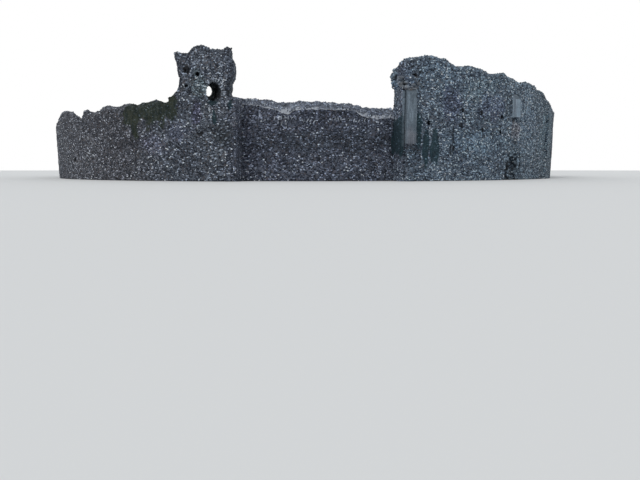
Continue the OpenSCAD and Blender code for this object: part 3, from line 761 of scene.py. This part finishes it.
def build_walls():
    """All walls and rubble pilasters, each on its own node."""
    flints = {slot: flint_wall(slot, pale) for slot, pale in CROWN_PALE.items()}
    walls = {}
    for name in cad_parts:
        if not ("curtain" in name or name.startswith(("tower", "gate_wall")) or name in RUBBLE):
            continue
        if kind_of(name) in HIDDEN_KINDS:
            walls[name] = finer(name, REAR_RISE, rear_cuts(name))
        else:
            walls[name] = finer(name, FRONT_RISE)
    wear_walls(walls)
    for name, obj in walls.items():
        slot = KINDS[kind_of(name)][0]
        own(obj, flints[slot], slot, name)
    return walls


# Blocks and stones

def block_shell(n):
    """Points on a cube from -1 to 1, n cells to a side, with its faces."""
    points, index, faces = [], {}, []
    line = [-1 + 2 * i / n for i in range(n + 1)]

    def corner(p):
        key = tuple(round(c, 5) for c in p)
        if key not in index:
            index[key] = len(points)
            points.append(p)
        return index[key]

    for axis, sign, i, j in product(range(3), (-1, 1), range(n), range(n)):
        quad = []
        for a, b in ((i, j), (i + 1, j), (i + 1, j + 1), (i, j + 1)):
            p = [0, 0, 0]
            p[axis], p[(axis + 1) % 3], p[(axis + 2) % 3] = sign, line[a], line[b]
            quad.append(corner(tuple(p)))
        faces.append(quad if sign > 0 else quad[::-1])
    return np.array(points, float), np.array(faces)


class Heap:
    """Collects many closed pieces into one mesh."""

    def __init__(self):
        self.points, self.faces, self.count = [], [], 0

    def add(self, points, faces):
        self.points.append(points)
        self.faces.extend((faces + self.count).tolist())
        self.count += len(points)

    def block(self, points, place, at):
        """Adds a dressed block at a place on the ring."""
        self.add(placed(points + place, at), BLOCK[1])

    def object(self, name, smooth_shade=False):
        mesh = bpy.data.meshes.new(name)
        points = np.concatenate(self.points)
        points[:, 2] = np.maximum(points[:, 2], 0)
        mesh.from_pydata(points.tolist(), [], self.faces)
        mesh.polygons.foreach_set("use_smooth", np.full(len(mesh.polygons), smooth_shade))
        mesh.update()
        keep_weather_and_shade(mesh, *weather_and_shade(points_of(mesh)))
        return linked(name, mesh)


BLOCK = block_shell(4)


def worn_block(rng, size, edge, wear=0.004):
    """A dressed block with rounded, chipped edges, centred on the origin."""
    half = np.array(size) / 2
    points = BLOCK[0] * half
    inner = np.clip(points, -(half - edge), half - edge)
    away = points - inner
    length = np.linalg.norm(away, axis=1)
    points = inner + away / np.maximum(length, 1e-9)[:, None] * np.minimum(length, edge)[:, None]
    seed = rng.integers(1 << 20)
    chips = np.maximum(lumps(points + seed % 97, 0.07, seed) - 0.35, 0) * (length > edge * 1.05)
    points = points * (1 - 0.10 * chips[:, None])
    return points + wear * np.stack([lumps(points + k * 3.1, 0.09, seed + k) for k in range(3)], 1)


def placed(points, matrix):
    """Points moved by a matrix."""
    m = np.array(matrix)
    return points @ m[:3, :3].T + m[:3, 3]


def courses(rng, low, high, mean):
    """Heights of courses that fill from low to high."""
    count = max(1, round((high - low) / mean))
    steps = 1 + 0.22 * rng.uniform(-1, 1, count)
    edges = low + (high - low) * np.concatenate([[0], np.cumsum(steps) / steps.sum()])
    return list(zip(edges[:-1], edges[1:]))


def pilaster(name, bearing, stone, mortar, seed):
    """A pilaster of dressed blocks with a sloping top, on a bed of mortar."""
    rng = np.random.default_rng(seed)
    joint, back_gap, bed_gap, edge, wear = 0.001, 0.01, 0.006, 0.0015, 0.0025
    bottom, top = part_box(name)[0].z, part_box(name)[1].z
    middle = -OUT_R + (PILASTER_IN - PILASTER_OUT) / 2
    thick, fall = PILASTER_OUT + PILASTER_IN, PILASTER_FALL * PILASTER_OUT
    at = facing(bearing)
    heap, bed = Heap(), Heap()
    for z0, z1 in courses(rng, bottom, top, COURSE):
        cuts = [-PILASTER_W / 2, PILASTER_W / 2]
        if rng.uniform() < 0.25:
            cuts.insert(1, rng.uniform(-0.1, 0.1))
        for x0, x1 in zip(cuts[:-1], cuts[1:]):
            points = worn_block(rng, (x1 - x0 - joint, thick - back_gap, z1 - z0 - joint), edge, wear)
            points = points + [(x0 + x1) / 2, middle - 0.004, (z0 + z1) / 2]
            slope = np.clip((-OUT_R - points[:, 1] + 0.01) / PILASTER_OUT, 0, 1)
            limit = np.maximum(top - fall * slope, z0 + 0.02 * (points[:, 2] - z0))
            points[:, 2] = np.minimum(points[:, 2], limit)
            heap.add(placed(points, at), BLOCK[1])
    own(heap.object(name + "_blocks"), stone, "dressed_stone", name)
    points = BLOCK[0] * [PILASTER_W / 2 - 0.008, thick / 2 - bed_gap, (top - bottom) / 2 - bed_gap]
    points = points + [0, middle, (top + bottom) / 2]
    slope = np.clip((-OUT_R - points[:, 1]) / PILASTER_OUT, 0, 1)
    points[:, 2] = np.minimum(points[:, 2], top - 0.008 - fall * slope)
    bed.add(placed(points, at), BLOCK[1])
    own(bed.object(name + "_mortar"), mortar, "dressed_stone")


def gateway(stone):
    """Dressed jambs in courses and an arch of wedge-shaped stones."""
    rng = np.random.default_rng(77)
    proud, joint, edge, voussoirs = 0.04, 0.006, 0.01, 15
    ring, middle = GATE_HALF - GATE_CLEAR, (GATE_HALF + GATE_CLEAR) / 2
    front = math.sqrt(OUT_R ** 2 - GATE_HALF ** 2) + proud
    through = front - math.sqrt(IN_R ** 2 - GATE_HALF ** 2) + proud
    at = facing(joint_at(GATE_LENGTH + 0.5))

    def stones(cuts):
        """Length and middle of each stone that the cuts, as shares of the way through, leave."""
        return [((b - a) * through, (a + b) / 2 * through - front) for a, b in zip(cuts[:-1], cuts[1:])]

    for side, label in ((-1, "left"), (1, "right")):
        heap = Heap()
        for i, (z0, z1) in enumerate(courses(rng, 0, GATE_SPRING, 0.17)):
            for long, y in stones([0, 0.28, 0.66, 1] if i % 2 else [0, 0.4, 0.58, 1]):
                points = worn_block(rng, (ring - 0.002, long - joint, z1 - z0 - joint), edge)
                heap.block(points, [side * middle, y, (z0 + z1) / 2], at)
        jamb = "gate_jamb_" + label
        own(heap.object(jamb + "_blocks", True), stone, "dressed_stone", jamb)
    heap = Heap()
    step = math.pi / voussoirs
    for k in range(voussoirs):
        for long, y in stones([0, 0.36, 0.7, 1] if k % 2 else [0, 0.5, 1]):
            points = worn_block(rng, (step * middle - joint, long - joint, ring - 0.004), edge)
            angle = step * (k + 0.5) + points[:, 0] / middle
            radius = middle + points[:, 2]
            heap.block(np.stack([-radius * np.cos(angle), points[:, 1], radius * np.sin(angle)], 1),
                       [0, y, GATE_SPRING], at)
    own(heap.object("gate_arch_voussoirs", True), stone, "dressed_stone", "gate_arch")


def ball(level):
    """Points and faces of a ball of radius 1."""
    bm = bmesh.new()
    bmesh.ops.create_icosphere(bm, subdivisions=level, radius=1.0)
    points = np.array([v.co for v in bm.verts])
    faces = np.array([[v.index for v in f.verts] for f in bm.faces])
    bm.free()
    return points, faces


BALLS = {1: ball(1), 2: ball(2)}


def stone_shapes(rng, level):
    """Points of knobbly stones, each a ball cut by a few flat faces."""
    shapes, cuts, points = [], 9, BALLS[level][0]
    for _ in range(14):
        planes = rng.normal(size=(cuts, 3))
        planes /= np.linalg.norm(planes, axis=1)[:, None]
        reach = rng.uniform(0.62, 0.95, cuts)
        limit = np.minimum(1.0, (reach / np.maximum(points @ planes.T, 1e-3)).min(1))
        shapes.append(points * limit[:, None])
    return shapes


class StoneHeap(Heap):
    """Loose stones in a few knobbly shapes, with random draws of their own."""

    def __init__(self, seed):
        super().__init__()
        self.rng = np.random.default_rng(seed)
        self.shapes = stone_shapes(self.rng, 2)

    def draw(self, *ranges):
        return [self.rng.uniform(low, high) for low, high in ranges]

    def stone(self):
        return self.shapes[self.rng.integers(len(self.shapes))]

    def sized(self, *ranges):
        """A stone with its three half sizes drawn from ranges, and then its shape."""
        size = self.draw(*ranges)
        return self.stone() * size

    def lay(self, points, place, at):
        """Adds a stone at a place on the ring."""
        self.add(placed(points + place, at), BALLS[2][1])


def turned(rng, normals, long_axis):
    """A frame for each stone: its third axis near the normal."""
    n = normals / np.linalg.norm(normals, axis=1)[:, None]
    other = np.cross(n, rng.normal(size=n.shape) if long_axis is None else long_axis)
    other /= np.maximum(np.linalg.norm(other, axis=1), 1e-9)[:, None]
    third = np.cross(n, other)
    return np.stack([third, other, n], 2)


def strew(name, rng, points, normals, sizes, level, material, slot, sink=0.35, long_axis=None):
    """Stones half sunk at points, one closed shape each, joined into one piece."""
    shapes = stone_shapes(rng, level)
    frames = turned(rng, normals, long_axis)
    heap = Heap()
    for point, axes, size, normal in zip(points, frames, sizes, normals):
        shape = shapes[rng.integers(len(shapes))]
        heap.add((shape * size) @ axes.T + (point - normal * size[2] * sink), BALLS[level][1])
    own(heap.object(name), material, slot)


def spread(points, normals, gap):
    """Drops the places that lie too near an earlier one."""
    kept, grid = [], {}
    for i, p in enumerate(points):
        key = tuple(np.floor(p / gap).astype(int))
        near = False
        for dx, dy, dz in product((-1, 0, 1), repeat=3):
            for j in grid.get((key[0] + dx, key[1] + dy, key[2] + dz), ()):
                near |= ((points[j] - p) ** 2).sum() < gap * gap
        if not near:
            grid.setdefault(key, []).append(i)
            kept.append(i)
    return points[kept], normals[kept]


def strew_walls(walls, materials):
    """Stones that stand proud: thick on crowns and broken edges, thin on the faces."""
    upright = np.array([0.0, 0.0, 1.0])
    for k, (name, obj) in enumerate(sorted(walls.items())):
        rng = np.random.default_rng(1000 + k)
        kind = kind_of(name)
        material, slot = materials[kind], KINDS[kind][0]
        to_a_top, to_a_face, gap, level = STREWN[kind in HIDDEN_KINDS]
        crown = gathered(obj.data.attributes["crown"].data, "value")
        normal, centre, area, corner, owner = face_data(obj.data)
        on_top = np.bincount(owner, crown[corner], len(area)) / np.bincount(owner, minlength=len(area))
        shown = ~hidden_faces(name, normal, centre)

        def scattered(weight, count, gap):
            picks = rng.choice(len(weight), count, p=weight / weight.sum())
            return spread(centre[picks], normal[picks], gap)

        count = int((area * on_top).sum() * to_a_top)
        if count >= FEWEST:
            places, normals = scattered(area * on_top * shown, count, gap)
            small = 0.75 if kind == "low" else 1.0
            sizes = small * rng.uniform(0.022, 0.048, (len(places), 3)) * [1.25, 1.0, 0.8]
            strew(name + "_crown_stones", rng, places, normals, sizes, level, material, slot)
        weight = area * (1 - on_top) * shown
        count = int(weight.sum() * to_a_face)
        if count >= FEWEST:
            places, normals = scattered(weight, count, 0.07)
            sizes = rng.uniform(0.012, 0.027, (len(places), 3)) * [1.25, 0.95, 0.6]
            strew(name + "_face_stones", rng, places, normals, sizes, 1, material, slot, 0.45, upright)


def leaning(points, angle):
    """Points turned by an angle in the plane of the wall's face."""
    c, s = math.cos(angle), math.sin(angle)
    return np.stack([points[:, 0] * c - points[:, 2] * s, points[:, 1],
                     points[:, 0] * s + points[:, 2] * c], 1)


def window_rim(material):
    """Pale flints set on end round the top of the window's mouth."""
    heap, at = StoneHeap(5), facing(WINDOW_AT)
    # For each ring: how far outside the mouth, stones all round, and the sine it goes down to
    for out, count, lowest in ((0.03, 34, -0.45), (0.1, 38, -0.15)):
        for i in range(count):
            a = 2 * math.pi * (i + heap.rng.uniform(-0.25, 0.25)) / count
            if math.sin(a) < lowest or heap.rng.uniform() < 0.1:
                continue
            x = (WINDOW_HALF_W + out) * math.cos(a)
            z = WINDOW_Z + (WINDOW_HALF_H + out) * math.sin(a)
            stone = heap.stone() * heap.draw((0.035, 0.058), (0.025, 0.035), (0.015, 0.024))
            heap.lay(leaning(stone, a), [x, -math.sqrt(OUT_R ** 2 - x ** 2) + 0.012, z], at)
    own(heap.object("tower_window_rim"), material, "flint_tower")


def niche_stones(material):
    """Rounded stones round the small niche under the tower's right-hand edge."""
    niche_at, niche_z, half_w, half_h = -11.45, 2.42, 0.11, 0.1
    heap = StoneHeap(15)
    for i in range(9):
        a = math.pi * (0.02 + 0.13 * i)
        place = [half_w * math.cos(a), -OUT_R + 0.005, niche_z + half_h * math.sin(a)]
        heap.lay(heap.stone() * [0.035, 0.025, 0.03], place, facing(niche_at))
    own(heap.object("tower_niche_stones"), material, "flint_tower")


def stones_on_end(material):
    """Rows of long pale flints set upright or leaning in the low curtain."""
    heap = StoneHeap(16)
    # For each row: first and last bearing, height, lean in degrees, and number of flints
    rows = ((-5.2, -2.6, 2.06, 8, 6), (-4.6, -3.4, 1.9, 14, 3), (-1.0, 1.0, 1.97, 38, 5),
            (4.0, 5.4, 2.03, 6, 4), (5.9, 6.9, 2.05, 84, 2), (7.6, 9.2, 1.98, 30, 3))
    for first, last, height, lean, count in rows:
        for i in range(count):
            bearing = first + (last - first) * (i + heap.rng.uniform(-0.2, 0.2)) / (count - 1)
            turn = math.radians(lean + heap.rng.uniform(-8, 8))
            stone = heap.stone()
            thin, long = heap.draw((0.016, 0.024), (0.06, 0.085))
            place = [0, -LOW_OUT - 0.006, height + heap.rng.uniform(-0.03, 0.03)]
            heap.lay(leaning(stone * [thin, 0.02, long], -turn), place, facing(bearing))
    own(heap.object("low_curtain_long_flints"), material, "flint_low")


def quoins(stone):
    """Thin dressed slabs left on the broken corner beside the first pilaster."""
    rng = np.random.default_rng(17)
    bottom, top, narrow, step = 1.12, 2.9, 0.072, 0.008
    heap = Heap()
    for i, (z0, z1) in enumerate(courses(rng, bottom, top, COURSE)):
        wide = narrow + (step if i % 2 else 0) + rng.uniform(-0.004, 0.004)
        points = worn_block(rng, (wide, 0.07, z1 - z0 - 0.008), 0.009)
        heap.block(points, [wide / 2, -OUT_R + 0.022, (z0 + z1) / 2], facing(HIGH_END - 0.02))
    own(heap.object("broken_corner_quoins"), stone, "dressed_stone")


def pilaster_remains(stone):
    """Dressed blocks that are left in the corner pilaster, the rest of which is rubble."""
    rng = np.random.default_rng(19)
    bottom, below_top, course, long, gap = 1.75, 0.16, 0.16, 0.17, 0.004
    heap = Heap()
    for z0, z1 in courses(rng, bottom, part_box("pilaster_3")[1].z - below_top, course):
        left = -0.16 + rng.uniform(-0.03, 0.03)
        for x0, x1 in ((left, left + long), (left + long, left + long + 0.16)):
            if rng.uniform() < 0.15:
                continue
            points = worn_block(rng, (x1 - x0 - gap, 0.06, z1 - z0 - gap), 0.006)
            heap.block(points, [(x0 + x1) / 2, -OUT_R - 0.074, (z0 + z1) / 2], facing(THIRD_AT))
    own(heap.object("pilaster_3_blocks"), stone, "dressed_stone")


def robbed_hollow(material):
    """Torn stones round and in the robbed hollow under the second pilaster."""
    hollow_at, hollow_z, half_w, half_h, lowest = SECOND_AT + 0.1, 0.52, 0.34, 0.52, 0.03
    heap = StoneHeap(20)
    for _ in range(90):
        a = 2 * math.pi * heap.rng.uniform()
        reach = heap.rng.uniform(0.75, 1.2)
        x, z = half_w * reach * math.cos(a), hollow_z + half_h * reach * math.sin(a)
        if z < lowest:
            continue
        size = heap.rng.uniform(0.03, 0.06, 3) * [1.2, 1, 0.8]
        sunk = 0.005 if reach > 0.95 else 0.06
        heap.lay(heap.stone() * size, [x, -OUT_R + sunk, z], facing(hollow_at))
    own(heap.object("high_curtain_robbed_stones"), material, "flint_high")


def first_head(material):
    """The large stones over the first pilaster, which wrap the broken corner."""
    heap = StoneHeap(9)
    # Rows of large stones that fill a rounded head
    first_z, row_rise, middle_z, half_h, half_w = 3.02, 0.095, 3.16, 0.3, 0.3
    for row in range(4):
        z = first_z + row_rise * row
        level = (z - middle_z) / half_h
        span = half_w * math.sqrt(max(0.0, 1 - level ** 2)) + 0.08
        count = 2 + int(span / 0.14)
        for col in range(count):
            x = span * (2 * (col + heap.rng.uniform(0.25, 0.75)) / count - 1) - 0.04
            bulge = 0.11 * math.sqrt(max(0.0, 1 - (x / 0.5) ** 2)) * (1 - 0.5 * abs(level))
            stone = heap.sized((0.07, 0.11), (0.05, 0.07), (0.045, 0.065))
            in_out, up_down = heap.draw((0.0, 0.04), (-0.02, 0.02))
            heap.lay(stone, [x, -OUT_R - bulge + in_out, z + up_down], facing(PILASTER_AT - 0.25))
    # A ragged row of small ones under them, and a few round the corner
    left, span, count = -0.22, 0.4, 13
    for i in range(count):
        stone = heap.sized((0.035, 0.06), (0.03, 0.05), (0.025, 0.045))
        along, up_down = heap.draw((-0.3, 0.3), (-0.05, 0.03))
        x = left + span * (i + along) / (count - 1)
        heap.lay(stone, [x, -OUT_R - 0.05, 2.97 + up_down], facing(PILASTER_AT - 0.15))
    for _ in range(16):
        stone = heap.sized((0.03, 0.05), (0.06, 0.1), (0.04, 0.06))
        deep, z = heap.draw((0.02, 0.5), (3.08, 3.42))
        heap.lay(stone, [-0.005, -OUT_R + deep, z], facing(HIGH_END))
    own(heap.object("pilaster_1_head_stones"), material, "brown_stone")


def broken_corner_bulge(material):
    """Stones that bulge from the broken end of the high curtain, near its top."""
    bottom, tall = 3.05, 0.69
    heap = StoneHeap(23)
    for _ in range(60):
        up = heap.rng.uniform()
        stone = heap.sized((0.06, 0.085), (0.06, 0.09), (0.045, 0.065))
        swell = min(1.0, 2 * up)
        x = 0.045 - 0.06 * swell + 0.12 * max(0.0, up - 0.6) / 0.4
        deep = heap.rng.uniform(0.03, 0.5)
        heap.lay(stone * (0.45 + 0.55 * swell), [x, -IN_R - deep, bottom + tall * up], facing(HIGH_END))
    own(heap.object("high_curtain_end_stones"), material, "flint_high")


# Stage, light and camera

def stage():
    mesh = bpy.data.meshes.new("floor")
    turns = np.linspace(0, 2 * math.pi, FLOOR_CORNERS + 1)[:-1]
    ring = [(FLOOR_R * math.cos(a), FLOOR_R * math.sin(a), -FLOOR_GAP) for a in turns]
    mesh.from_pydata(ring, [], [list(range(FLOOR_CORNERS))])
    floor = linked("floor", mesh)
    floor.data.materials.append(Net("floor").finish((0.72, 0.72, 0.72), 0.9, specular=0.1))


def light():
    """A soft pale sky, which the camera sees as white, and a broad lamp."""
    world = bpy.data.worlds.new("studio")
    bpy.context.scene.world = world
    world.use_nodes = True
    net = Nodes(world.node_tree)
    soft = net.node("ShaderNodeBackground", {0: (0.93, 0.97, 1.0), 1: 0.72})
    white = net.node("ShaderNodeBackground", {0: (1, 1, 1), 1: 1.0})
    seen = net.node("ShaderNodeLightPath", out="Is Camera Ray")
    sky = net.node("ShaderNodeMixShader", {0: seen, 1: soft, 2: white})
    net.node("ShaderNodeOutputWorld", {0: sky}, None)
    lamp = bpy.data.lights.new("key", "SUN")
    lamp.energy, lamp.angle = 1.1, math.radians(35)
    lamp.color = (1.0, 0.99, 0.97)
    linked("key", lamp).rotation_euler = [math.radians(a) for a in (48, -8, -28)]


def camera():
    data = bpy.data.cameras.new("camera")
    data.sensor_width = SENSOR
    data.lens = SENSOR * FOCAL_PIXELS / PICTURE_PIXELS
    data.clip_end = 500
    cam = linked("camera", data)
    cam.location = CAMERA_AT
    cam.rotation_euler = (math.radians(90 - CAMERA_DOWN), 0, math.radians(-CAMERA_RIGHT))
    bpy.context.scene.camera = cam


def main():
    bpy.context.scene.view_settings.view_transform = "Standard"
    camera()
    stage()
    light()
    walls = build_walls()
    ashlar = dressed_stone("dressed_stone", srgb(108, 120, 131), srgb(92, 104, 115))
    pale = dressed_stone("dressed_pale", srgb(142, 155, 168), srgb(118, 131, 144))
    mortar = mortar_bed("joint_mortar", srgb(98, 109, 119))
    brown = loose_stone("brown_stone", [(0.0, srgb(66, 74, 84)), (0.25, srgb(86, 91, 98)),
                                        (0.5, srgb(98, 102, 107)), (0.75, srgb(92, 88, 88)),
                                        (0.9, srgb(124, 129, 136))], srgb(106, 112, 120))
    loose = {kind: loose_flints("loose_" + kind, tint) for kind, (_, tint) in KINDS.items()}
    strew_walls(walls, loose)
    rim = loose_flints("loose_rim", srgb(124, 130, 140))
    window_rim(rim)
    niche_stones(rim)
    stones_on_end(loose_flints("loose_long", srgb(130, 136, 146)))
    first_head(brown)
    broken_corner_bulge(loose["high"])
    quoins(ashlar)
    robbed_hollow(loose["high"])
    pilaster("pilaster_1", PILASTER_AT, ashlar, mortar, 21)
    pilaster("pilaster_2", SECOND_AT, pale, mortar, 22)
    pilaster_remains(ashlar)
    for k in range(1, REAR_PILASTERS + 1):
        bearing = PILASTER_AT + PILASTER_PITCH * (k + 2)
        pilaster("rear_pilaster_%d" % k, bearing, ashlar, mortar, 30 + k)
    gateway(ashlar)


main()
